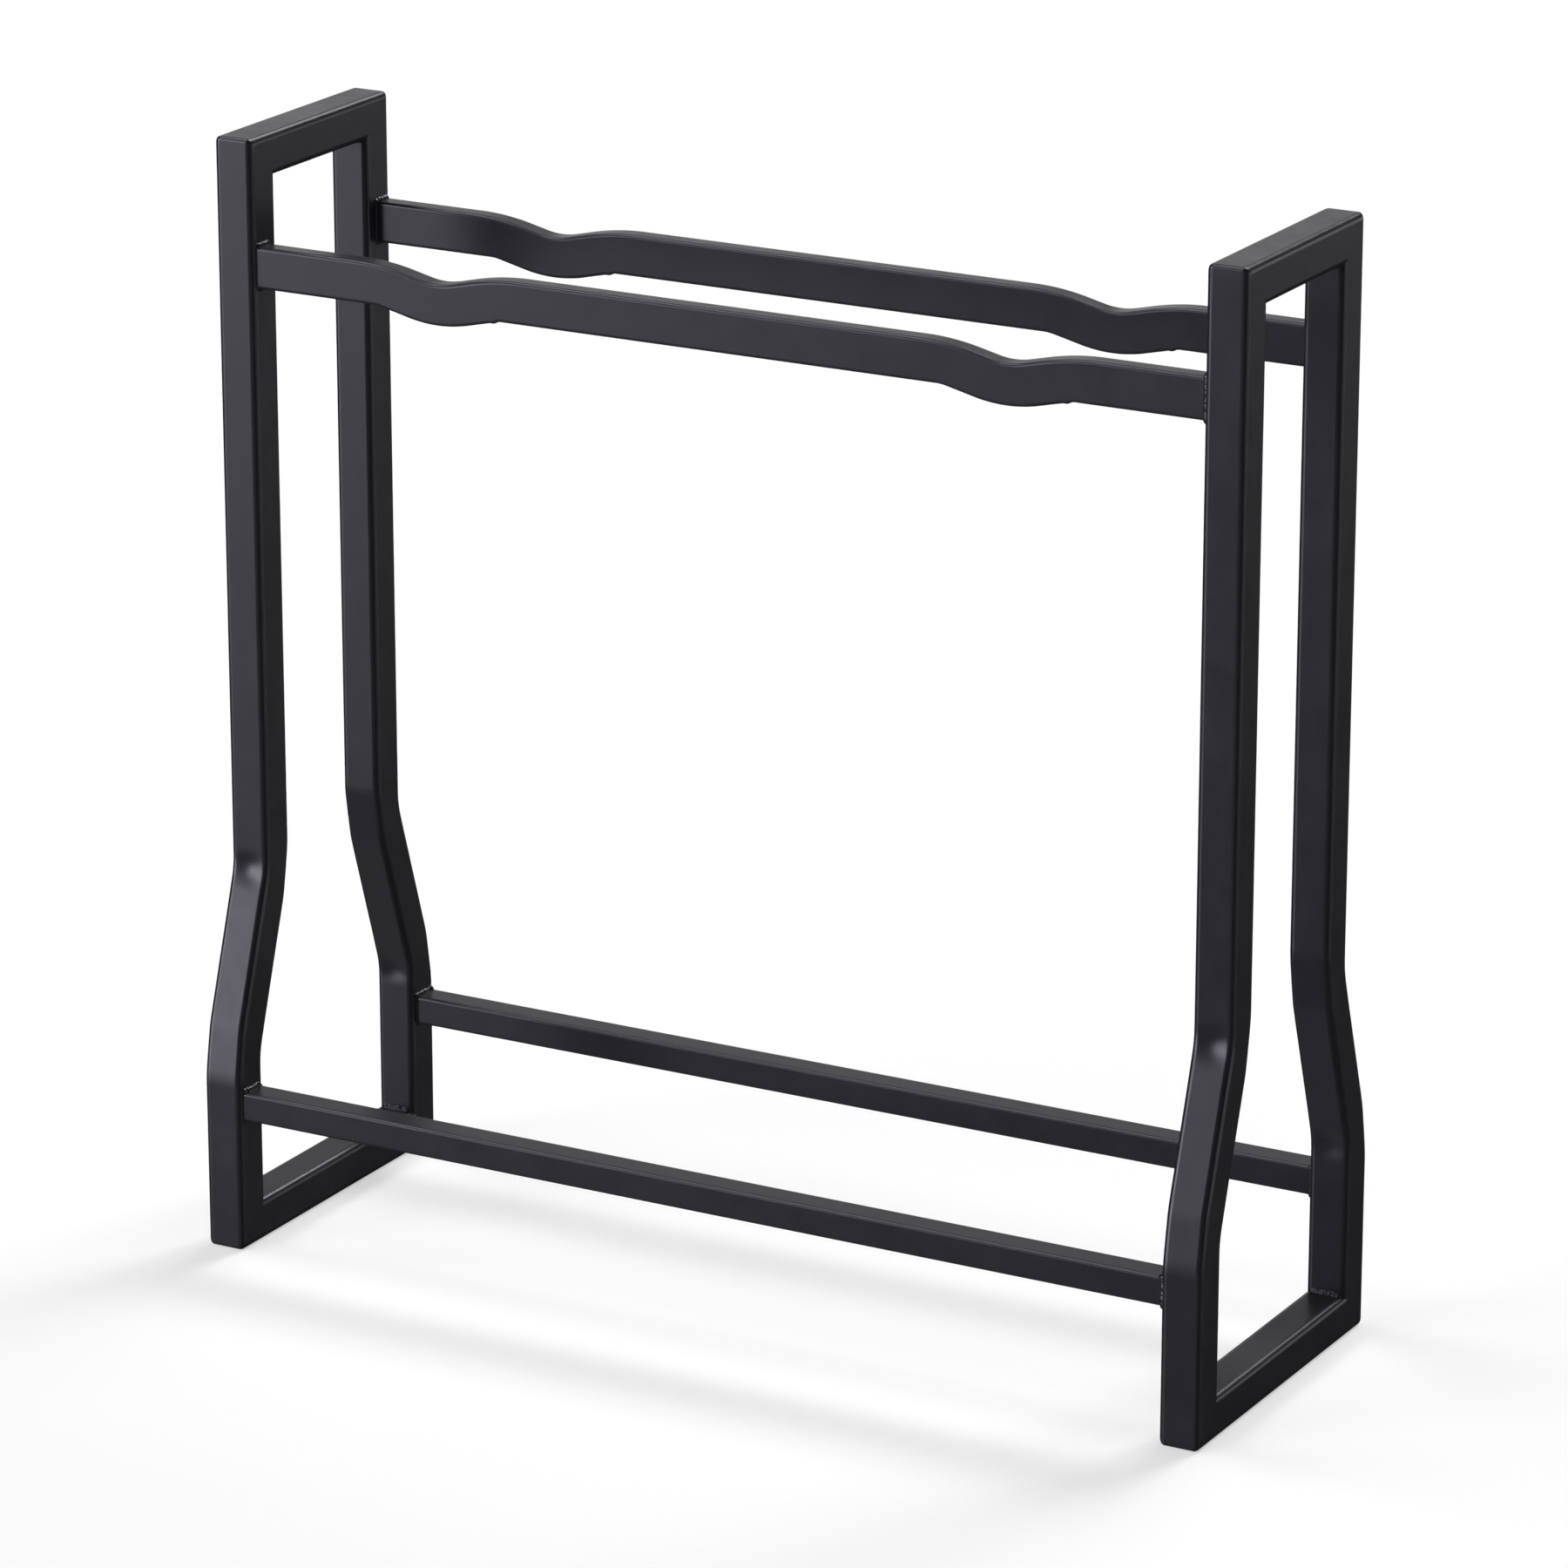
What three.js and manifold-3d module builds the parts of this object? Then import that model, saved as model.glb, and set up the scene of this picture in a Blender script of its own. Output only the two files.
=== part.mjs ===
// Firewood log rack: two closed side loops of square tube, joined by two upper rails with
// shallow cradle dips and two plain lower rails, every joint welded.
// Millimetres. +X is the viewer's right, +Y the back, +Z up; the origin is on the floor under
// the middle of the rack. All four legs are alike, so the rear pieces are the front ones turned
// half a turn about Z.
import * as THREE from "three";
import { mergeVertices } from "three/addons/utils/BufferGeometryUtils.js";
import Module from "manifold-3d";

// Overall sizes, measured over the outsides of the side loops.
const overallWidth = 650;
const overallHeight = 663;
const topDepth = 149;
const footDepth = 218;

// Side loops: square tube, mitred at the four corners, both uprights bent twice low down.
const loopTube = 25;
const loopWall = 1.5;
const loopEdgeRadius = 3.7;
const mitreCornerRadius = 2; // the ground outside corner of each mitre
const bendAngle = THREE.MathUtils.degToRad(18.3); // lean of the leg between its two bends
const bendAboveLowerRail = 21; // from the lower rail's top up to the lower bend
const legBend = { inside: 8, outside: 18 }; // how far each face's curve reaches from its corner

// Upper rails: flat tube on edge, each pressed down into two dips that cradle the load.
const upperRailHeight = 24.4;
const upperRailThickness = 12.5;
const upperRailWall = 1.2;
const upperRailEdgeRadius = 1.8;
const upperRailDrop = 62.8; // from the top of the loop down to the rail
const upperRailInset = 4; // from the upright's outer face in to the rail's
const dipSpacing = 360;
const dipHalfWidth = 38.7;
const dipDepth = 9.1;
const shoulderBend = { inside: 1.5, outside: 17 };
const troughBend = { inside: 8, outside: 20 };

// Lower rails: square tube, centred on the uprights just under their lower bends.
const lowerRailSize = 17.5;
const lowerRailWall = 1.2;
const lowerRailEdgeRadius = 1.7;
const lowerRailFloorGap = 81;

// Welds, and the gap that separate bodies keep where they would touch.
const seam = 0.3;
const filletLeg = 2.2; // bead round the end of each rail
const cornerBeadLeg = 2.6; // bead in the inside corner of each mitre
const beadEndRadius = 0.6;

// Fineness of the curves, in segments.
const bendSegments = 4;
const edgeSegments = 2;
const boreEdgeSegments = 1;

// Places that follow from the sizes above.
const loopCentreX = (overallWidth - loopTube) / 2;
const railSpan = overallWidth - 2 * loopTube; // between the loops' inner faces
const upperRailY = topDepth / 2 - upperRailInset - upperRailThickness / 2;
const upperRailZ = overallHeight - upperRailDrop - upperRailHeight / 2;
const lowerRailY = (footDepth - loopTube) / 2;
const lowerRailZ = lowerRailFloorGap + lowerRailSize / 2;
const lowerBendZ = lowerRailFloorGap + lowerRailSize + bendAboveLowerRail;
const upperBendZ = lowerBendZ + (footDepth - topDepth) / 2 / Math.tan(bendAngle);
const cutterSize = 5 * loopTube; // a block longer than any waste that it cuts off
const overrun = 2 * loopTube; // waste left on each end of a tube before it is cut

const powderCoat = { color: 0x2a2a2d, roughness: 0.42, metalness: 0.15 };
const coatedWeld = { color: 0x2c2c2f, roughness: 0.36, metalness: 0.15 };

const wasm = await Module();
wasm.setup();

// A closed three.js geometry as a solid that can be joined and cut.
function toSolid(geometry) {
  geometry.deleteAttribute("normal");
  geometry.deleteAttribute("uv");
  const merged = mergeVertices(geometry);
  return new wasm.Manifold(new wasm.Mesh({
    numProp: 3,
    vertProperties: Float32Array.from(merged.attributes.position.array),
    triVerts: Uint32Array.from(merged.index.array),
  }));
}

function toGeometry(solid) {
  const { vertProperties, triVerts } = solid.getMesh();
  const geometry = new THREE.BufferGeometry();
  geometry.setAttribute("position", new THREE.BufferAttribute(vertProperties, 3));
  geometry.setIndex(new THREE.BufferAttribute(triVerts, 1));
  geometry.computeVertexNormals();
  return geometry;
}

// One side of a bent tube: the centre line moved sideways, with its corners where the moved
// straights meet. A corner keeps the bend of its centre point and which side of it this is.
function offsetLine(centreLine, distance) {
  const directions = centreLine.slice(1).map((p, i) => p.at.clone().sub(centreLine[i].at).normalize());
  return centreLine.map((point, i) => {
    const before = directions[Math.max(i - 1, 0)];
    const after = directions[Math.min(i, directions.length - 1)];
    const normal = new THREE.Vector2(-before.y - after.y, before.x + after.x).normalize();
    const stretch = normal.dot(new THREE.Vector2(-after.y, after.x));
    const leftTurn = before.cross(after) > 0;
    const reach = point.bend && (leftTurn === distance > 0 ? point.bend.inside : point.bend.outside);
    return { at: point.at.clone().addScaledVector(normal, distance / stretch), reach };
  });
}

// Side view of a bent tube: both sides of it, with each bend a curve between two straights.
function tubeOutline(centreLine, size) {
  const corners = [...offsetLine(centreLine, -size / 2), ...offsetLine(centreLine, size / 2).reverse()];
  const outline = new THREE.Shape();
  outline.moveTo(corners[0].at.x, corners[0].at.y);
  corners.slice(1).forEach((corner, i) => {
    if (!corner.reach) {
      outline.lineTo(corner.at.x, corner.at.y);
      return;
    }
    const next = corners[i + 2].at;
    const start = corners[i].at.clone().sub(corner.at).setLength(corner.reach).add(corner.at);
    const end = next.clone().sub(corner.at).setLength(corner.reach).add(corner.at);
    outline.lineTo(start.x, start.y);
    outline.quadraticCurveTo(corner.at.x, corner.at.y, end.x, end.y);
  });
  outline.closePath();
  return outline;
}

// A shape extruded to a width about its own plane, with its long edges rounded.
function prism(outline, width, edgeRadius, segments = edgeSegments) {
  const depth = width - 2 * edgeRadius;
  const geometry = new THREE.ExtrudeGeometry(outline, {
    depth,
    bevelEnabled: edgeRadius > 0,
    bevelThickness: edgeRadius,
    bevelSize: edgeRadius,
    bevelOffset: -edgeRadius,
    bevelSegments: segments,
    curveSegments: bendSegments,
  });
  return geometry.translate(0, 0, -depth / 2);
}

// Turns a side view drawn in X and Y to stand across the rack, in Y and Z.
function standAcross(geometry) {
  const axes = new THREE.Matrix4().makeBasis(
    new THREE.Vector3(0, 1, 0), new THREE.Vector3(0, 0, 1), new THREE.Vector3(1, 0, 0));
  return geometry.applyMatrix4(axes);
}

// Turns a side view drawn in X and Y to stand along the rack, in X and Z.
function standAlong(geometry) {
  return geometry.rotateX(Math.PI / 2);
}

// A hollow tube of rectangular section: size is its height in the side view.
function hollowTube(centreLine, { size, width, wall, edgeRadius }, stand) {
  const skin = prism(tubeOutline(centreLine, size), width, edgeRadius);
  const bore = prism(tubeOutline(centreLine, size - 2 * wall), width - 2 * wall, edgeRadius - wall,
    boreEdgeSegments);
  return toSolid(stand(skin)).subtract(toSolid(stand(bore)));
}

const point = (x, y, bend) => ({ at: new THREE.Vector2(x, y), bend });
const loopSection = { size: loopTube, width: loopTube, wall: loopWall, edgeRadius: loopEdgeRadius };

// A block whose near face is the mitre plane through a loop corner, turned to face the waste.
function mitreBlock(y, z, turn) {
  const reach = (cutterSize - seam) / 2;
  const block = new THREE.BoxGeometry(cutterSize, cutterSize, cutterSize).rotateX(turn);
  return toSolid(block.translate(0, y + reach * Math.cos(turn), z + reach * Math.sin(turn)));
}

// What is ground off the outside corner of a mitre. Turn 0 is a corner with its metal above it
// and behind it; each quarter turn moves on to the next corner of the loop.
function cornerWaste(y, z, quarterTurns) {
  const r = mitreCornerRadius;
  const outline = new THREE.Shape();
  outline.moveTo(-r, -r).lineTo(r, -r).lineTo(r, 0);
  outline.absarc(r, r, r, -Math.PI / 2, Math.PI, true);
  outline.lineTo(-r, r).closePath();
  const waste = standAcross(prism(outline, 2 * loopTube, 0));
  return toSolid(waste.rotateX(quarterTurns * Math.PI / 2).translate(0, y, z));
}

function uprightGeometry() {
  const topY = -(topDepth - loopTube) / 2;
  const footY = -(footDepth - loopTube) / 2;
  const leg = hollowTube([
    point(footY, -overrun),
    point(footY, lowerBendZ, legBend),
    point(topY, upperBendZ, legBend),
    point(topY, overallHeight + overrun),
  ], loopSection, standAcross);
  return toGeometry(leg
    .subtract(mitreBlock(-topDepth / 2, overallHeight, Math.PI / 4))
    .subtract(mitreBlock(-footDepth / 2, 0, -Math.PI / 4))
    .subtract(cornerWaste(-topDepth / 2, overallHeight, 3))
    .subtract(cornerWaste(-footDepth / 2, 0, 0)));
}

function topBarGeometry() {
  const z = overallHeight - loopTube / 2;
  const half = topDepth / 2;
  const bar = hollowTube([point(-half - overrun, z), point(half + overrun, z)], loopSection, standAcross);
  return toGeometry(bar
    .subtract(mitreBlock(-half, overallHeight, -Math.PI * 3 / 4))
    .subtract(mitreBlock(half, overallHeight, -Math.PI / 4))
    .subtract(cornerWaste(-half, overallHeight, 3))
    .subtract(cornerWaste(half, overallHeight, 2)));
}

function footBarGeometry() {
  const half = footDepth / 2;
  const bar = hollowTube([point(-half - overrun, loopTube / 2), point(half + overrun, loopTube / 2)],
    loopSection, standAcross);
  return toGeometry(bar
    .subtract(mitreBlock(-half, 0, Math.PI * 3 / 4))
    .subtract(mitreBlock(half, 0, Math.PI / 4))
    .subtract(cornerWaste(-half, 0, 0))
    .subtract(cornerWaste(half, 0, 1)));
}

// Cuts both ends of a rail square, a seam short of the loops.
function squareEnds(rail) {
  const centre = (railSpan + cutterSize) / 2 - seam;
  const blocks = [-centre, centre].map((x) =>
    toSolid(new THREE.BoxGeometry(cutterSize, cutterSize, cutterSize).translate(x, 0, 0)));
  return rail.subtract(blocks[0]).subtract(blocks[1]);
}

function upperRailGeometry() {
  const dip = (x) => [
    point(x - dipHalfWidth, 0, shoulderBend),
    point(x, -dipDepth, troughBend),
    point(x + dipHalfWidth, 0, shoulderBend),
  ];
  const end = railSpan / 2 + overrun;
  const centreLine = [point(-end, 0), ...dip(-dipSpacing / 2), ...dip(dipSpacing / 2), point(end, 0)];
  return toGeometry(squareEnds(hollowTube(centreLine, {
    size: upperRailHeight,
    width: upperRailThickness,
    wall: upperRailWall,
    edgeRadius: upperRailEdgeRadius,
  }, standAlong)));
}

function lowerRailGeometry() {
  const end = railSpan / 2 + overrun;
  return toGeometry(squareEnds(hollowTube([point(-end, 0), point(end, 0)], {
    size: lowerRailSize,
    width: lowerRailSize,
    wall: lowerRailWall,
    edgeRadius: lowerRailEdgeRadius,
  }, standAlong)));
}

// A rectangle with round corners about the origin.
function roundedRectangle(width, height, radius) {
  const x = width / 2 - radius;
  const y = height / 2 - radius;
  const outline = new THREE.Shape();
  outline.absarc(x, y, radius, 0, Math.PI / 2);
  outline.absarc(-x, y, radius, Math.PI / 2, Math.PI);
  outline.absarc(-x, -y, radius, Math.PI, Math.PI * 3 / 2);
  outline.absarc(x, -y, radius, Math.PI * 3 / 2, Math.PI * 2);
  return outline;
}

// The fillet bead round a rail's end, on the side of the loop at +X: widest against the loop.
function railWeldGeometry(thickness, height, edgeRadius) {
  const section = roundedRectangle(thickness + 2 * seam, height + 2 * seam, edgeRadius + seam);
  const bead = new THREE.ExtrudeGeometry(section, {
    depth: filletLeg,
    bevelThickness: filletLeg,
    bevelSize: filletLeg,
    bevelSegments: edgeSegments,
    curveSegments: edgeSegments,
  });
  const core = new THREE.ExtrudeGeometry(section, {
    depth: 4 * filletLeg,
    bevelEnabled: false,
    curveSegments: edgeSegments,
  }).translate(0, 0, -2 * filletLeg);
  const beyond = new THREE.BoxGeometry(cutterSize, cutterSize, cutterSize).translate(0, 0, cutterSize / 2);
  const ring = toSolid(standAcross(bead))
    .subtract(toSolid(standAcross(core)))
    .subtract(toSolid(standAcross(beyond)));
  return toGeometry(ring);
}

// The bead in the inside corner of a mitre, drawn for a corner with its metal below and in front.
function cornerWeldGeometry() {
  const far = seam + cornerBeadLeg;
  const outline = new THREE.Shape();
  outline.moveTo(seam, seam).lineTo(far, seam);
  outline.quadraticCurveTo(far * 0.72, far * 0.72, seam, far);
  outline.closePath();
  const flatWidth = loopTube - 2 * loopEdgeRadius;
  return toGeometry(toSolid(standAcross(prism(outline, flatWidth, beadEndRadius, 1))));
}

const rack = new THREE.Group();

function addMesh(parent, name, geometry, finish) {
  const mesh = new THREE.Mesh(geometry, new THREE.MeshStandardMaterial(finish));
  mesh.name = name;
  parent.add(mesh);
  return mesh;
}

const upright = uprightGeometry();
const topBar = topBarGeometry();
const footBar = footBarGeometry();
const cornerWeld = cornerWeldGeometry();

for (const [side, x] of [["left", -loopCentreX], ["right", loopCentreX]]) {
  const loop = new THREE.Group();
  loop.position.x = x;
  rack.add(loop);
  addMesh(loop, `${side}_top_bar`, topBar, powderCoat);
  addMesh(loop, `${side}_foot_bar`, footBar, powderCoat);
  addMesh(loop, `${side}_front_upright`, upright, powderCoat);
  addMesh(loop, `${side}_rear_upright`, upright, powderCoat).rotation.z = Math.PI;

  const insideCorners = [
    ["foot_front", -footDepth / 2 + loopTube, loopTube, 0],
    ["foot_rear", footDepth / 2 - loopTube, loopTube, 1],
    ["top_rear", topDepth / 2 - loopTube, overallHeight - loopTube, 2],
    ["top_front", -topDepth / 2 + loopTube, overallHeight - loopTube, 3],
  ];
  for (const [corner, y, z, quarterTurns] of insideCorners) {
    const bead = addMesh(loop, `${side}_${corner}_corner_weld`, cornerWeld, coatedWeld);
    bead.position.set(0, y, z);
    bead.rotation.x = quarterTurns * Math.PI / 2;
  }
}

const rails = [
  {
    name: "upper_rail",
    geometry: upperRailGeometry(),
    weld: railWeldGeometry(upperRailThickness, upperRailHeight, upperRailEdgeRadius),
    y: upperRailY,
    z: upperRailZ,
  },
  {
    name: "lower_rail",
    geometry: lowerRailGeometry(),
    weld: railWeldGeometry(lowerRailSize, lowerRailSize, lowerRailEdgeRadius),
    y: lowerRailY,
    z: lowerRailZ,
  },
];

for (const [side, towardsBack] of [["front", -1], ["rear", 1]]) {
  for (const { name, geometry, weld, y, z } of rails) {
    const line = new THREE.Group();
    line.position.set(0, towardsBack * y, z);
    rack.add(line);
    addMesh(line, `${side}_${name}`, geometry, powderCoat);
    for (const [end, direction] of [["left", -1], ["right", 1]]) {
      const bead = addMesh(line, `${side}_${name}_${end}_weld`, weld, coatedWeld);
      bead.position.x = direction * (railSpan / 2 - seam);
      bead.rotation.z = direction > 0 ? 0 : Math.PI;
    }
  }
}

export default rack;
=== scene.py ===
import math

import bmesh
import bpy
from mathutils import Matrix, Vector, noise


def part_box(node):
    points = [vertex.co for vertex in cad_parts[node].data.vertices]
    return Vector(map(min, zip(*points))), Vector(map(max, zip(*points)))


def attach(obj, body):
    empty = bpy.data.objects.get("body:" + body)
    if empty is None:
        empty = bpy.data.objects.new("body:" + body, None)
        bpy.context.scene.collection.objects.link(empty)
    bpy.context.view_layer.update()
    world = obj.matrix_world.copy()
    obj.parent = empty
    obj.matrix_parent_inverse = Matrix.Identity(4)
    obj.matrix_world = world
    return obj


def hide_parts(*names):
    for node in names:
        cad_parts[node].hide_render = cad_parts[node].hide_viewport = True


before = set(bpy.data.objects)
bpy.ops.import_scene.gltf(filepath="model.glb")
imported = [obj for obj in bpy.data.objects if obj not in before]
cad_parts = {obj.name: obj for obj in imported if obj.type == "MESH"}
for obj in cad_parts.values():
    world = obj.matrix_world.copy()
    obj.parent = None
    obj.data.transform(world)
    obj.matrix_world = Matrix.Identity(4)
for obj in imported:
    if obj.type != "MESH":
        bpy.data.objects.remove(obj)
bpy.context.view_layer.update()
print("frame loaded:", len(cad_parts), "pieces to finish")

mm = 0.001  # every length is in metres, and the pieces' sizes are written in millimetres

# Places read from the frame.
topLow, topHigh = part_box("left_top_bar")
loopInner = topHigh.x  # the left loop's face that the rails run to
loopSize = topHigh.x - topLow.x
loopCentre = (topHigh.x + topLow.x) / 2
topHalf = topHigh.y  # the loop's half depth at the top, and at the foot
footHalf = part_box("left_foot_bar")[1].y
rackHeight = topHigh.z

meshing = {
    "merge": 1e-6,  # vertices closer than this are one
    "onPlane": 1e-7,  # and vertices closer than this to a cut lie on it
    "sharp": math.radians(38),  # edges turned more than this are not shaded smooth
    "holdStrip": 0.25 * mm,  # a narrow strip beside each round edge keeps the face's shading flat
    "boreSegments": 2,
}

loopTube = {
    "edgeRadius": 3.7 * mm,
    "wall": 1.5 * mm,
    "edgeSegments": 7,
    "mitreRadius": 2 * mm,  # the ground outside corner of each mitre
    "mitreCutStep": 0.45 * mm,
    "faceLanes": 10,  # strips across a face that a bend dents
    "plainStep": 45 * mm,
}
mitreReach = loopTube["mitreRadius"] + loopTube["edgeRadius"]

legBend = {
    "angle": math.radians(18.3),
    "aboveLowerRail": 21 * mm,
    "insideReach": 7 * mm,
    "facetHalf": 15.5 * mm,  # the outside of a bend is pulled flat for this far each way
    "facetReach": 5 * mm,
    "cutStep": 1.3 * mm,
    "cutSpan": 27 * mm,
    "dentDepth": 0.95 * mm,  # the inside of a bend is pushed in
    "dentLength": 13 * mm,
    "dentHalfWidth": 12 * mm,
}

upperRail = {
    "height": 24.4 * mm,
    "edgeRadius": 1.8 * mm,
    "wall": 1.2 * mm,
    "edgeSegments": 6,
    "faceLanes": 4,
    "dipSpacing": 360 * mm,
    "dipHalfWidth": 38.7 * mm,
    "dipDepth": 9.1 * mm,
    "shoulderReach": 17 * mm,
    "leftCreaseReach": 3 * mm,
    "rightCreaseReach": 1 * mm,  # the press leaves the +X end of a dip sharper, with a lip
    "lipDepth": 0.65 * mm,
    "lipHalfLength": 3.2 * mm,
    "saddleReach": 10 * mm,
    "bellyReach": 20 * mm,
    "cutStep": 1.2 * mm,
    "cutSpan": 62 * mm,
    "plainStep": 30 * mm,
}

lowerRail = {
    "edgeRadius": 1.7 * mm,
    "wall": 1.2 * mm,
    "edgeSegments": 6,
    "faceLanes": 1,
    "plainStep": 30 * mm,
}

railBead = {
    "leg": 2.4 * mm,
    "topShare": 1.0,  # shares of the leg on each side of the rail
    "bottomShare": 0.8,
    "backShare": 0.85,
    "frontShare": {"left": 0.3, "right": 0.8},
    "fullness": 0.8,  # 0 is a flat fillet and 1 a quarter round
    "ripplePitch": 1.5 * mm,
    "rippleDepth": 0.12,
    "rippleSweep": 0.45,  # how far the ripples curve back, in ripples
    "rippleDrift": 0.5,
    "unevenness": 0.32,
    "unevenLength": 2.1 * mm,
    "lump": 0.45,  # where the bead was started, at the front top corner
    "lumpLength": 1.6 * mm,
    "sink": 0.06 * mm,
    "step": 0.2 * mm,
    "arcPoints": 11,
}

cornerBead = {
    "leg": 2.2 * mm,
    "fullness": 0.7,
    "ripplePitch": 1.5 * mm,
    "rippleDepth": 0.12,
    "rippleSweep": 0.45,
    "rippleDrift": 0.5,
    "unevenness": 0.32,
    "unevenLength": 2.1 * mm,
    "sink": 0.06 * mm,
    "step": 0.2 * mm,
    "overhang": 1.2 * mm,  # how far it runs past the flat of the faces
    "taper": 6,
    "arcPoints": 11,
}


# Bends: how far a side has moved over, for a slope of 1 that starts at t = 0.
def evenBend(t, reach):
    if abs(t) >= reach:
        return max(t, 0.0)
    return (t + reach) ** 2 / (4 * reach)


def flatBend(t, facetHalf, reach):
    return (evenBend(t - facetHalf, reach) + evenBend(t + facetHalf, reach)) / 2


# A smooth hump from 1 at 0 down to 0 at the reach.
def hump(t, reach):
    return math.cos(math.pi / 2 * min(abs(t) / reach, 1)) ** 2


def cutsBetween(start, end, step):
    count = max(1, round((end - start) / step))
    return [start + (end - start) * i / count for i in range(count + 1)]


def sliceAlong(bm, axis, places):
    normal = Vector([1 if i == axis else 0 for i in range(3)])
    for place in places:
        geom = bm.verts[:] + bm.edges[:] + bm.faces[:]
        bmesh.ops.bisect_plane(bm, geom=geom, dist=meshing["onPlane"],
                               plane_co=normal * place, plane_no=normal)


# One skin of a tube along Z, open at both ends, with round long edges and lanes across its faces.
def tubeSkin(size, radius, segments, ends, cuts, lanes):
    bm = bmesh.new()
    bmesh.ops.create_cube(bm, size=1)
    length = ends[1] - ends[0]
    bmesh.ops.scale(bm, vec=(size[0], size[1], length), verts=bm.verts)
    bmesh.ops.translate(bm, vec=(0, 0, (ends[0] + ends[1]) / 2), verts=bm.verts)
    caps = [f for f in bm.faces if abs(f.normal.z) > 0.5]
    bmesh.ops.delete(bm, geom=caps, context="FACES_ONLY")
    long = [e for e in bm.edges if abs(e.verts[0].co.z - e.verts[1].co.z) > length / 2]
    bmesh.ops.bevel(bm, geom=long, offset=radius, segments=segments, profile=0.5,
                    affect="EDGES", material=-1)
    for axis in range(2):
        flat = size[axis] / 2 - radius - meshing["holdStrip"]
        sliceAlong(bm, axis, cutsBetween(-flat, flat, 2 * flat / lanes[axis]))
    sliceAlong(bm, 2, [c for c in cuts if ends[0] < c < ends[1]])
    return bm


# A hollow tube: the outer skin, and the bore's skin turned inside out.
def hollowTube(size, tube, ends, cuts, lanes=(1, 1)):
    wall = tube["wall"]
    bm = tubeSkin(size, tube["edgeRadius"], tube["edgeSegments"], ends, cuts, lanes)
    boreSize = [s - 2 * wall for s in size]
    bore = tubeSkin(boreSize, tube["edgeRadius"] - wall, meshing["boreSegments"], ends, cuts, lanes)
    bmesh.ops.reverse_faces(bore, faces=bore.faces)
    joinInto(bm, bore)
    return bm


def joinInto(bm, other):
    mesh = bpy.data.meshes.new("joined")
    other.to_mesh(mesh)
    other.free()
    bm.from_mesh(mesh)
    bpy.data.meshes.remove(mesh)


# Cuts off what lies past a plane, and joins the skin to the bore across the cut.
def cutOff(bm, point, away):
    point, away = Vector(point), Vector(away).normalized()
    geom = bm.verts[:] + bm.edges[:] + bm.faces[:]
    bmesh.ops.bisect_plane(bm, geom=geom, dist=meshing["onPlane"],
                           plane_co=point, plane_no=away, clear_outer=True)
    rim = [e for e in bm.edges if e.is_boundary
           and all(abs((v.co - point).dot(away)) < meshing["merge"] for v in e.verts)]
    bmesh.ops.bridge_loops(bm, edges=rim)


# A rounded edge of the loop's tube: how far its skin stands in from the flat, at a place off its centre.
def sunkAt(offCentre):
    radius = loopTube["edgeRadius"]
    past = abs(offCentre) - (loopSize / 2 - radius)
    if past <= 0:
        return 0.0
    return radius - math.sqrt(max(radius ** 2 - past ** 2, 0.0))


# Rounds the outside corners of the loop's mitres, as they are ground.
def roundMitres(bm):
    radius = loopTube["mitreRadius"]
    for vert in bm.verts:
        inset = sunkAt(vert.co.x) + radius
        for half, height, up in ((topHalf, rackHeight, 1), (footHalf, 0, -1)):
            out = abs(vert.co.y) - (half - inset)
            over = up * (vert.co.z - height) + inset
            reach = math.hypot(out, over)
            if min(out, over) > 0 and reach > radius:
                vert.co.y = math.copysign(half - inset + out * radius / reach, vert.co.y)
                vert.co.z = height + up * (over * radius / reach - inset)


class Signal:
    # a shader socket that Python's own operators work on
    def __init__(self, shader, socket):
        self.shader = shader
        self.socket = socket

    def combine(self, operation, first, second):
        return self.shader.add("ShaderNodeMath", {"operation": operation}, {0: first, 1: second})

    def __add__(self, other):
        return self.combine("ADD", self, other)

    def __sub__(self, other):
        return self.combine("SUBTRACT", self, other)

    def __rsub__(self, other):
        return self.combine("SUBTRACT", other, self)

    def __mul__(self, other):
        return self.combine("MULTIPLY", self, other)

    __radd__ = __add__
    __rmul__ = __mul__


class Shader:
    def __init__(self, tree):
        self.tree = tree
        tree.nodes.clear()

    # Any node: its settings first, then the values or links of its sockets.
    def add(self, kind, settings=None, inputs=None, output=None):
        node = self.tree.nodes.new(kind)
        for name, value in (settings or {}).items():
            setattr(node, name, value)
        for key, value in (inputs or {}).items():
            socket = self.find(node.inputs, key)
            if isinstance(value, Signal):
                self.tree.links.new(value.socket, socket)
            else:
                socket.default_value = value
        if len(node.outputs) == 0:
            return node
        return Signal(self, self.find(node.outputs, output))

    # A socket by number or by name; of several with one name, the one in use.
    def find(self, sockets, key):
        if isinstance(key, int):
            return sockets[key]
        return next(s for s in sockets if s.enabled and key in (None, s.name))


# Noise whose spots are of one size, from 0 to 1 and mostly near a half.
def mottle(shader, place, size, detail, roughness=0.55):
    inputs = {"Vector": place, "Scale": 1 / size, "Detail": detail, "Roughness": roughness}
    return shader.add("ShaderNodeTexNoise", None, inputs)


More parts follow.
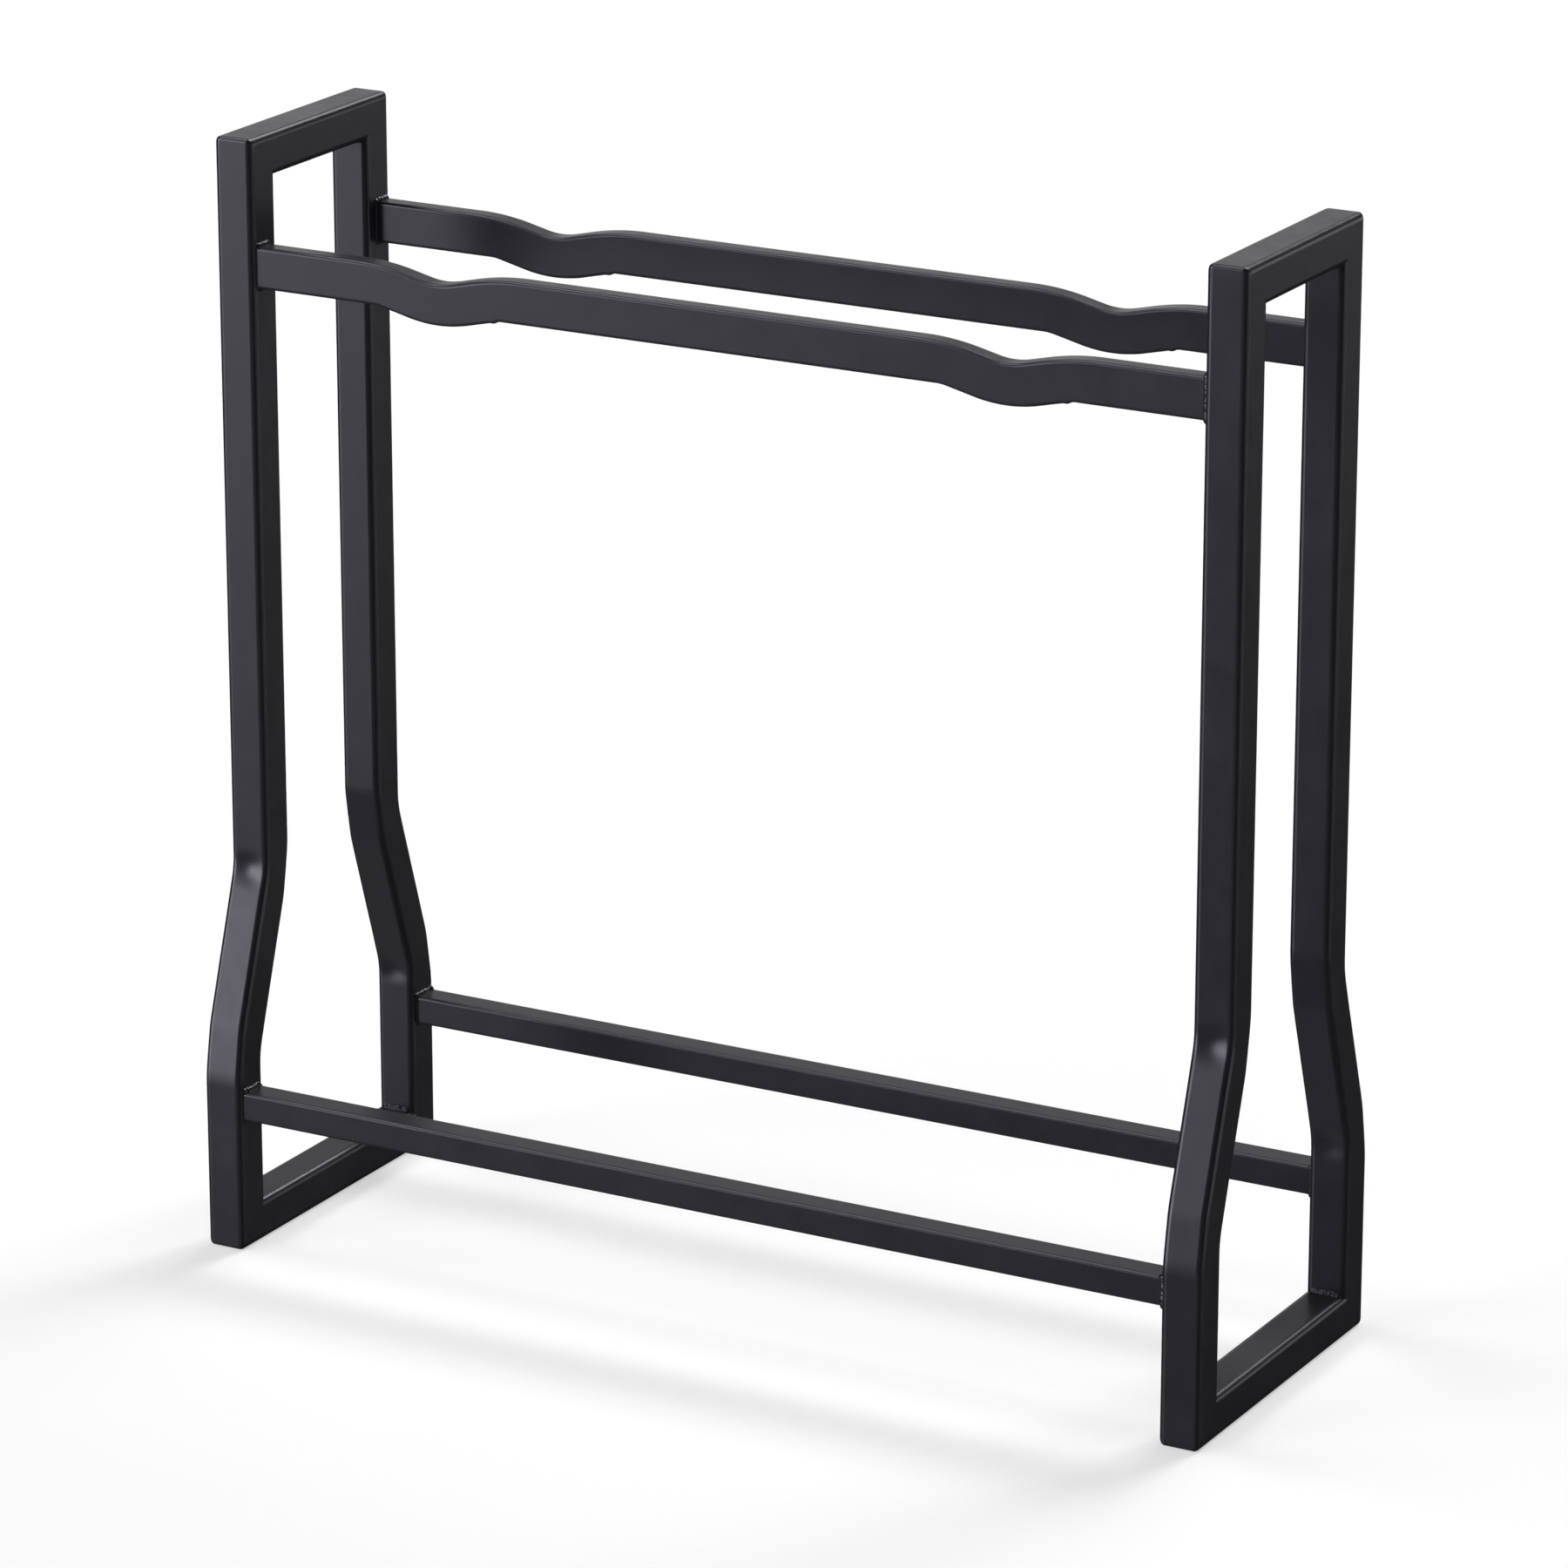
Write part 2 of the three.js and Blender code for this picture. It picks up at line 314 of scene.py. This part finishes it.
coatFinish = {
    "powder_coat": {
        "light": (0.0136, 0.0129, 0.0166, 1),
        "dark": (0.0106, 0.0100, 0.0131, 1),
        "roughness": 0.33,
        "roughnessSpread": 0.10,
        "peelHeight": 0.007 * mm,
        "grainHeight": 0.0012 * mm,
        "waveHeight": 0.05 * mm,
    },
    "coated_weld": {
        "light": (0.0146, 0.0138, 0.0178, 1),
        "dark": (0.0106, 0.0100, 0.0131, 1),
        "roughness": 0.31,
        "roughnessSpread": 0.10,
        "peelHeight": 0.012 * mm,
        "grainHeight": 0.0015 * mm,
        "waveHeight": 0.0,
    },
}
coatNoise = {
    "cloud": {"size": 26 * mm, "detail": 2.0},
    "patch": {"size": 7 * mm, "detail": 3.0},
    "wave": {"size": 16 * mm, "detail": 1.0},
    "peel": {"size": 1.1 * mm, "detail": 1.0},
    "grain": {"size": 0.32 * mm, "detail": 0.0},
}
coatShares = {
    "cloudInColour": 0.6,  # the rest of the colour's variation comes from the patches
    "cloudInGloss": 0.5,
    "ior": 1.5,
    "reflectance": 0.40,
    "tint": (0.965, 0.935, 1.10, 1),  # the black has a slight violet cast
}


# A share of one pattern and the rest of another.
def blend(first, second, share):
    return first * share + second * (1 - share)


def makeCoat(slotName, look):
    material = bpy.data.materials.new(slotName + "_finish")
    material.use_nodes = True
    shader = Shader(material.node_tree)
    place = shader.add("ShaderNodeTexCoord", output="Object")
    spots = {name: mottle(shader, place, **pattern) for name, pattern in coatNoise.items()}
    colour = shader.add("ShaderNodeMix", {"data_type": "RGBA"}, {
        "Factor": blend(spots["cloud"], spots["patch"], coatShares["cloudInColour"]),
        "A": look["dark"],
        "B": look["light"],
    })
    uneven = blend(spots["cloud"], spots["patch"], coatShares["cloudInGloss"]) - 0.5
    roughness = look["roughness"] + uneven * (2 * look["roughnessSpread"])
    height = sum(spots[name] * look[name + "Height"] for name in ("peel", "grain", "wave"))
    normal = shader.add("ShaderNodeBump", None, {"Strength": 1.0, "Distance": 1.0, "Height": height})
    surface = shader.add("ShaderNodeBsdfPrincipled", None, {
        "Base Color": colour,
        "Roughness": roughness,
        "IOR": coatShares["ior"],
        "Specular IOR Level": coatShares["reflectance"],
        "Specular Tint": coatShares["tint"],
        "Normal": normal,
    })
    shader.add("ShaderNodeOutputMaterial", None, {"Surface": surface})
    return material


materials = {name: makeCoat(name, look) for name, look in coatFinish.items()}
print("finishes made:", ", ".join(materials))


def finishPiece(bm, node, slotName):
    bmesh.ops.remove_doubles(bm, verts=bm.verts, dist=meshing["merge"])
    bmesh.ops.recalc_face_normals(bm, faces=bm.faces)
    for face in bm.faces:
        face.smooth = True
    for edge in bm.edges:
        edge.smooth = edge.calc_face_angle(0) < meshing["sharp"]
    mesh = bpy.data.meshes.new(node + "_finished")
    bm.to_mesh(mesh)
    bm.free()
    mesh.materials.append(materials[slotName])
    piece = bpy.data.objects.new(node + "_finished", mesh)
    bpy.context.scene.collection.objects.link(piece)
    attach(piece, "root")
    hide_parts(node)


# Heights of the bends, on the tube's centre line and on its outer (front) and inner side.
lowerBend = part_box("front_lower_rail")[1].z + legBend["aboveLowerRail"]
legSlope = math.tan(legBend["angle"])
upperBend = lowerBend + (footHalf - topHalf) / legSlope
sideShift = loopSize / 2 * math.tan(legBend["angle"] / 2)


# Where the front upright's two sides are at a height.
def uprightSides(z):
    facetHalf, facetReach, reach = legBend["facetHalf"], legBend["facetReach"], legBend["insideReach"]
    outer = (flatBend(z - lowerBend - sideShift, facetHalf, facetReach)
             - evenBend(z - upperBend - sideShift, reach))
    inner = (evenBend(z - lowerBend + sideShift, reach)
             - flatBend(z - upperBend + sideShift, facetHalf, facetReach))
    return -footHalf + legSlope * outer, loopSize - footHalf + legSlope * inner


def bendLeg(bm):
    for vert in bm.verts:
        x, y, z = vert.co
        outer, inner = uprightSides(z)
        share = y / loopSize + 0.5  # 0 on the outer side and 1 on the inner one
        across = hump(x, legBend["dentHalfWidth"]) * legBend["dentDepth"]
        dentOut = hump(z - upperBend - sideShift, legBend["dentLength"]) * max(1 - 2 * share, 0)
        dentIn = hump(z - lowerBend + sideShift, legBend["dentLength"]) * max(2 * share - 1, 0)
        vert.co.y = outer + (inner - outer) * share + across * (dentOut - dentIn)


def makeUpright():
    ends = (-loopSize, rackHeight + loopSize)  # spare length past both mitres
    fine = loopTube["mitreCutStep"]
    cuts = cutsBetween(0, mitreReach, fine) + cutsBetween(rackHeight - mitreReach, rackHeight, fine)
    cuts += cutsBetween(2 * mitreReach, rackHeight - 2 * mitreReach, loopTube["plainStep"])
    for bend in (lowerBend, upperBend):
        cuts += cutsBetween(bend - legBend["cutSpan"], bend + legBend["cutSpan"], legBend["cutStep"])
    bm = hollowTube((loopSize, loopSize), loopTube, ends, cuts, (loopTube["faceLanes"], 1))
    bendLeg(bm)
    cutOff(bm, (0, -topHalf, rackHeight), (0, 1, 1))
    cutOff(bm, (0, -footHalf, 0), (0, 1, -1))
    roundMitres(bm)
    return bm


# A loop's top bar or foot bar: up is 1 for the top one and -1 for the foot.
def makeBar(half, height, up):
    fine = loopTube["mitreCutStep"]
    cuts = cutsBetween(-half, mitreReach - half, fine) + cutsBetween(half - mitreReach, half, fine)
    cuts += cutsBetween(-half + 2 * mitreReach, half - 2 * mitreReach, loopTube["plainStep"])
    bm = hollowTube((loopSize, loopSize), loopTube, (-half - loopSize, half + loopSize), cuts)
    bmesh.ops.rotate(bm, matrix=Matrix.Rotation(-math.pi / 2, 3, "X"), verts=bm.verts)
    bmesh.ops.translate(bm, vec=(0, 0, height - up * loopSize / 2), verts=bm.verts)
    for side in (-1, 1):
        cutOff(bm, (0, side * half, height), (0, side, -up))
    roundMitres(bm)
    return bm


def standAt(bm, turn, place):
    bmesh.ops.rotate(bm, matrix=Matrix.Rotation(turn, 3, "Z"), verts=bm.verts)
    bmesh.ops.translate(bm, vec=place, verts=bm.verts)
    return bm


for side, x in (("left", loopCentre), ("right", -loopCentre)):
    finishPiece(standAt(makeUpright(), 0, (x, 0, 0)), side + "_front_upright", "powder_coat")
    finishPiece(standAt(makeUpright(), math.pi, (x, 0, 0)), side + "_rear_upright", "powder_coat")
    finishPiece(standAt(makeBar(topHalf, rackHeight, 1), 0, (x, 0, 0)), side + "_top_bar", "powder_coat")
    finishPiece(standAt(makeBar(footHalf, 0, -1), 0, (x, 0, 0)), side + "_foot_bar", "powder_coat")
    print(side, "loop made")


# How far a dipped rail's top and bottom have moved at a place along it.
def dippedSides(along, halfHeight):
    halfWidth = upperRail["dipHalfWidth"]
    slope = upperRail["dipDepth"] / halfWidth
    shift = halfHeight * math.tan(math.atan(slope) / 2)
    top = bottom = 0.0
    for middle in (-upperRail["dipSpacing"] / 2, upperRail["dipSpacing"] / 2):
        t = along - middle
        shoulder = halfWidth - shift
        crease = halfWidth + shift
        top += slope * (2 * evenBend(t, upperRail["saddleReach"])
                        - evenBend(t + shoulder, upperRail["shoulderReach"])
                        - evenBend(t - shoulder, upperRail["shoulderReach"]))
        bottom += slope * (2 * evenBend(t, upperRail["bellyReach"])
                           - evenBend(t + crease, upperRail["leftCreaseReach"])
                           - evenBend(t - crease, upperRail["rightCreaseReach"]))
        lipAt = crease - upperRail["lipHalfLength"]
        bottom -= upperRail["lipDepth"] * hump(t - lipAt, upperRail["lipHalfLength"])
    return top, bottom


# A rail is made along Z, with its thickness in X and its height in Y, then laid along X.
def makeRail(node, rail, dipped):
    low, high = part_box(node)
    size = (high.y - low.y, railHeight[node.split("_", 1)[1]])
    ends = (loopInner, -loopInner)
    cuts = cutsBetween(ends[0], ends[1], rail["plainStep"])
    if dipped:
        for middle in (-rail["dipSpacing"] / 2, rail["dipSpacing"] / 2):
            cuts += cutsBetween(middle - rail["cutSpan"], middle + rail["cutSpan"], rail["cutStep"])
    spare = loopSize / 2
    bm = hollowTube(size, rail, (ends[0] - spare, ends[1] + spare), cuts, (1, rail["faceLanes"]))
    if dipped:
        for vert in bm.verts:
            top, bottom = dippedSides(vert.co.z, size[1] / 2)
            vert.co.y += bottom + (top - bottom) * (vert.co.y / size[1] + 0.5)
    for along in ends:
        cutOff(bm, (0, 0, along), (0, 0, along))
    place = Vector((0, (low.y + high.y) / 2, high.z - size[1] / 2))
    layAlong = Matrix(((0, 0, 1), (1, 0, 0), (0, 1, 0))).to_4x4()
    bmesh.ops.transform(bm, matrix=Matrix.Translation(place) @ layAlong, verts=bm.verts)
    return bm


lowerLow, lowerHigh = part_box("front_lower_rail")
railHeight = {"upper_rail": upperRail["height"], "lower_rail": lowerHigh.z - lowerLow.z}
for side in ("front", "rear"):
    finishPiece(makeRail(side + "_upper_rail", upperRail, True), side + "_upper_rail", "powder_coat")
    finishPiece(makeRail(side + "_lower_rail", lowerRail, False), side + "_lower_rail", "powder_coat")
print("rails made")


# Walks clockwise round a rail's outline from the middle of its top: where it is then, and the way out.
def aroundRail(width, height, radius, left):
    x, y, heading = 0.0, height / 2, 0.0
    halfTop, side, bottom = width / 2 - radius, height - 2 * radius, width - 2 * radius
    for straight in (halfTop, side, bottom, side, halfTop):
        step = min(left, straight)
        x += math.cos(heading) * step
        y += math.sin(heading) * step
        left -= step
        turn = min(left / radius, math.pi / 2)
        x += radius * (math.sin(heading) - math.sin(heading - turn))
        y += radius * (math.cos(heading - turn) - math.cos(heading))
        heading -= turn
        left -= turn * radius
        if left <= 0:
            break
    return Vector((x, y)), Vector((-math.sin(heading), math.cos(heading)))


# How far a bead's skin is from the corner it fills, in the direction turn, 0 to 1, as a share of its leg.
def beadShape(bead, ripple, turn, spot):
    chord = 1 / (math.cos(turn * math.pi / 2) + math.sin(turn * math.pi / 2))
    ripple += bead["rippleSweep"] * (1 - (2 * turn - 1) ** 2)
    ripple += bead["rippleDrift"] * noise.noise(spot / (2 * bead["unevenLength"]))
    crest = abs(math.sin(math.pi * ripple))
    shape = chord + (1 - chord) * bead["fullness"]
    shape *= 1 - bead["rippleDepth"] * (1 - crest)
    return shape * (1 + bead["unevenness"] * noise.noise(spot / bead["unevenLength"]))


# A flat grid whose vertices a function then places: steps along the bead, and round its section.
def beadGrid(steps, arcPoints):
    bm = bmesh.new()
    bmesh.ops.create_grid(bm, x_segments=steps, y_segments=arcPoints + 1, size=0.5)
    return bm


# Which way a vertex of the grid lies from the corner its bead fills: 0 along one face, 1 along the other,
# and none for the row that is buried in the corner.
def sectionTurn(bead, place):
    index = round((place + 0.5) * (bead["arcPoints"] + 1)) % (bead["arcPoints"] + 1)
    return None if index == bead["arcPoints"] else index / (bead["arcPoints"] - 1)


def sectionPoint(bead, turn, reach):
    return (reach * math.cos(turn * math.pi / 2) - bead["sink"],
            reach * math.sin(turn * math.pi / 2) - bead["sink"])


# The bead round a rail's end, which faces +X at the left loop and -X at the right one.
def makeRailBead(rail, size, centre, end, seed):
    towards = 1 if end == "left" else -1
    width, height = size
    radius = rail["edgeRadius"]
    around = 2 * (width + height) - (8 - 2 * math.pi) * radius
    ripples = round(around / railBead["ripplePitch"])
    uprightY = math.copysign((topHalf if rail is upperRail else footHalf) - loopSize / 2, centre.y)
    bm = beadGrid(round(around / railBead["step"]), railBead["arcPoints"])
    for vert in bm.verts:
        share = vert.co.x + 0.5
        spot, out = aroundRail(width, height, radius, share * around)
        fromStart = (spot - Vector((-width / 2, height / 2))).length
        sideShares = (railBead["backShare"] if out.x > 0 else railBead["frontShare"][end],
                      railBead["topShare"] if out.y > 0 else railBead["bottomShare"])
        swell = out.x ** 2 * sideShares[0] + out.y ** 2 * sideShares[1]
        swell += railBead["lump"] * hump(fromStart, railBead["lumpLength"])
        turn, reach = sectionTurn(railBead, vert.co.y), 0.0
        if turn is not None:
            place = Vector((spot.x, spot.y, seed + turn * mm))
            reach = railBead["leg"] * beadShape(railBead, share * ripples, turn, place) * swell
        rise, along = sectionPoint(railBead, turn or 0.0, reach)
        y = centre.y + spot.x + out.x * rise
        against = max(0, 1 - along / railBead["leg"])  # 1 where it touches the upright
        along -= against * sunkAt(y - uprightY)
        vert.co = (centre.x + towards * along, y, centre.z + spot.y + out.y * rise)
    return bm


# The bead in an inside corner of a loop: back and up say which way the corner opens.
def makeCornerBead(x, corner, back, up, seed):
    halfLength = loopSize / 2 - loopTube["edgeRadius"] + cornerBead["overhang"]
    bm = beadGrid(round(2 * halfLength / cornerBead["step"]), cornerBead["arcPoints"])
    for vert in bm.verts:
        share = 2 * vert.co.x
        along = halfLength * share
        taper = math.sqrt(max(1 - abs(share) ** cornerBead["taper"], 0))
        turn, reach = sectionTurn(cornerBead, vert.co.y), 0.0
        if turn is not None:
            place = Vector((along, turn * mm, seed))
            ripple = along / cornerBead["ripplePitch"]
            reach = cornerBead["leg"] * beadShape(cornerBead, ripple, turn, place)
        point = sectionPoint(cornerBead, turn or 0.0, reach)
        out, rise = (taper * part - sunkAt(along) for part in point)
        vert.co = (x + along, corner[0] + back * out, corner[1] + up * rise)
    return bm


seed = 0
for side in ("front", "rear"):
    for name, rail in (("upper_rail", upperRail), ("lower_rail", lowerRail)):
        low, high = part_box(side + "_" + name)
        size = (high.y - low.y, railHeight[name])
        for end, towards in (("left", 1), ("right", -1)):
            seed += 1
            node = side + "_" + name + "_" + end + "_weld"
            centre = Vector((towards * loopInner, (low.y + high.y) / 2, high.z - size[1] / 2))
            finishPiece(makeRailBead(rail, size, centre, end, seed), node, "coated_weld")

for side, x in (("left", loopCentre), ("right", -loopCentre)):
    for level, half, height, up in (("foot", footHalf, loopSize, 1),
                                    ("top", topHalf, rackHeight - loopSize, -1)):
        for face, back in (("front", 1), ("rear", -1)):
            seed += 1
            node = side + "_" + level + "_" + face + "_corner_weld"
            corner = (back * (loopSize - half), height)
            finishPiece(makeCornerBead(x, corner, back, up, seed), node, "coated_weld")
print("welds made")


# The stage: a pale lit floor, a pale backdrop far off, and a dark sky with round soft lights in it.
# A light's azimuth is from the front, positive towards +X. The floor hides those under it from all but
# reflections.
sky = {
    "rest": 0.01,
    "inner": 2,  # each light fades out from this angle off its middle to its own spread
    "lights": [
        {"azimuth": -40, "elevation": 10, "spread": 18, "strength": 6.0},  # front left
        {"azimuth": -45, "elevation": -3, "spread": 18, "strength": 7.2},
        {"azimuth": -50, "elevation": -45, "spread": 30, "strength": 0.35},
        {"azimuth": 0, "elevation": -25, "spread": 15, "strength": 0.8},
        {"azimuth": -40, "elevation": 55, "spread": 15, "strength": 5.0},  # overhead
        {"azimuth": -90, "elevation": 60, "spread": 15, "strength": 9.0},
        {"azimuth": 170, "elevation": 50, "spread": 15, "strength": 22.0},
        {"azimuth": -170, "elevation": 45, "spread": 15, "strength": 3.0},
        {"azimuth": -150, "elevation": 10, "spread": 15, "strength": 0.9},  # behind
        {"azimuth": 155, "elevation": 0, "spread": 15, "strength": 1.6},
        {"azimuth": 125, "elevation": -3, "spread": 15, "strength": 3.0},  # right
        {"azimuth": 90, "elevation": -5, "spread": 15, "strength": 2.5},
    ],
}
floorLook = {  # a lit white table
    "size": 60,
    "shade": 0.42,
    "drift": 0.01,
    "driftSize": 0.4,
    "driftDetail": 2.0,
    "roughness": 0.9,
    "reflectance": 0.1,
    "glow": 0.53,
}
backdropLook = {"radius": 25, "sides": 64, "colour": (0.94, 0.94, 0.94, 1)}
viewpoint = {
    "azimuth": 28.94,  # degrees
    "elevation": 17.92,
    "lens": 167.2,
    "place": (1.917, -3.459, 1.585),  # metres
    "sensorWidth": 36,
    "clip": (0.05, 100),
}


def makeSky():
    world = bpy.data.worlds.new("studio")
    bpy.context.scene.world = world
    world.use_nodes = True
    shader = Shader(world.node_tree)
    way = shader.add("ShaderNodeTexCoord", output="Generated")
    bright = sky["rest"]
    for light in sky["lights"]:
        turn, rise = math.radians(light["azimuth"]), math.radians(light["elevation"])
        towards = (math.sin(turn) * math.cos(rise), -math.cos(turn) * math.cos(rise), math.sin(rise))
        near = shader.add("ShaderNodeVectorMath", {"operation": "DOT_PRODUCT"},
                          {0: way, 1: towards}, "Value")
        bright = bright + shader.add("ShaderNodeMapRange", {"interpolation_type": "SMOOTHSTEP"}, {
            "Value": near,
            "From Min": math.cos(math.radians(light["spread"])),
            "From Max": math.cos(math.radians(sky["inner"])),
            "To Min": 0.0, "To Max": light["strength"],
        })
    background = shader.add("ShaderNodeBackground", None, {"Color": (1, 1, 1, 1), "Strength": bright})
    shader.add("ShaderNodeOutputWorld", None, {"Surface": background})


def makeFloor():
    bm = bmesh.new()
    bmesh.ops.create_grid(bm, x_segments=1, y_segments=1, size=floorLook["size"] / 2)
    mesh = bpy.data.meshes.new("floor")
    bm.to_mesh(mesh)
    bm.free()
    floor = bpy.data.objects.new("floor", mesh)
    bpy.context.scene.collection.objects.link(floor)
    floor.visible_glossy = False
    material = bpy.data.materials.new("pale_floor")
    material.use_nodes = True
    shader = Shader(material.node_tree)
    place = shader.add("ShaderNodeTexCoord", output="Object")
    uneven = mottle(shader, place, floorLook["driftSize"], floorLook["driftDetail"]) - 0.5
    shade = floorLook["shade"] + uneven * floorLook["drift"]
    grey = shader.add("ShaderNodeCombineColor", None, {"Red": shade, "Green": shade, "Blue": shade})
    surface = shader.add("ShaderNodeBsdfPrincipled", None, {
        "Base Color": grey,
        "Roughness": floorLook["roughness"],
        "Specular IOR Level": floorLook["reflectance"],
        "Emission Color": (1, 1, 1, 1),
        "Emission Strength": floorLook["glow"],
    })
    shader.add("ShaderNodeOutputMaterial", None, {"Surface": surface})
    mesh.materials.append(material)


# Only the camera sees the backdrop: it lights nothing.
def makeBackdrop():
    bm = bmesh.new()
    radius = backdropLook["radius"]
    bmesh.ops.create_cone(bm, segments=backdropLook["sides"], radius1=radius, radius2=radius,
                          depth=2 * radius)
    mesh = bpy.data.meshes.new("backdrop")
    bm.to_mesh(mesh)
    bm.free()
    backdrop = bpy.data.objects.new("backdrop", mesh)
    bpy.context.scene.collection.objects.link(backdrop)
    for unseen in ("visible_diffuse", "visible_glossy", "visible_transmission", "visible_shadow"):
        setattr(backdrop, unseen, False)
    material = bpy.data.materials.new("pale_backdrop")
    material.use_nodes = True
    shader = Shader(material.node_tree)
    surface = shader.add("ShaderNodeEmission", None, {"Color": backdropLook["colour"], "Strength": 1.0})
    shader.add("ShaderNodeOutputMaterial", None, {"Surface": surface})
    mesh.materials.append(material)


def makeCamera():
    data = bpy.data.cameras.new("camera")
    data.lens = viewpoint["lens"]
    data.sensor_width = viewpoint["sensorWidth"]
    data.clip_start, data.clip_end = viewpoint["clip"]
    camera = bpy.data.objects.new("camera", data)
    bpy.context.scene.collection.objects.link(camera)
    turn, tilt = math.radians(viewpoint["azimuth"]), math.radians(viewpoint["elevation"])
    ahead = Vector((-math.sin(turn) * math.cos(tilt), math.cos(turn) * math.cos(tilt), -math.sin(tilt)))
    camera.location = viewpoint["place"]
    camera.rotation_euler = ahead.to_track_quat("-Z", "Y").to_euler()
    bpy.context.scene.camera = camera


makeCamera()
makeSky()
makeFloor()
makeBackdrop()
bpy.context.scene.view_settings.view_transform = "Standard"
print("stage made")
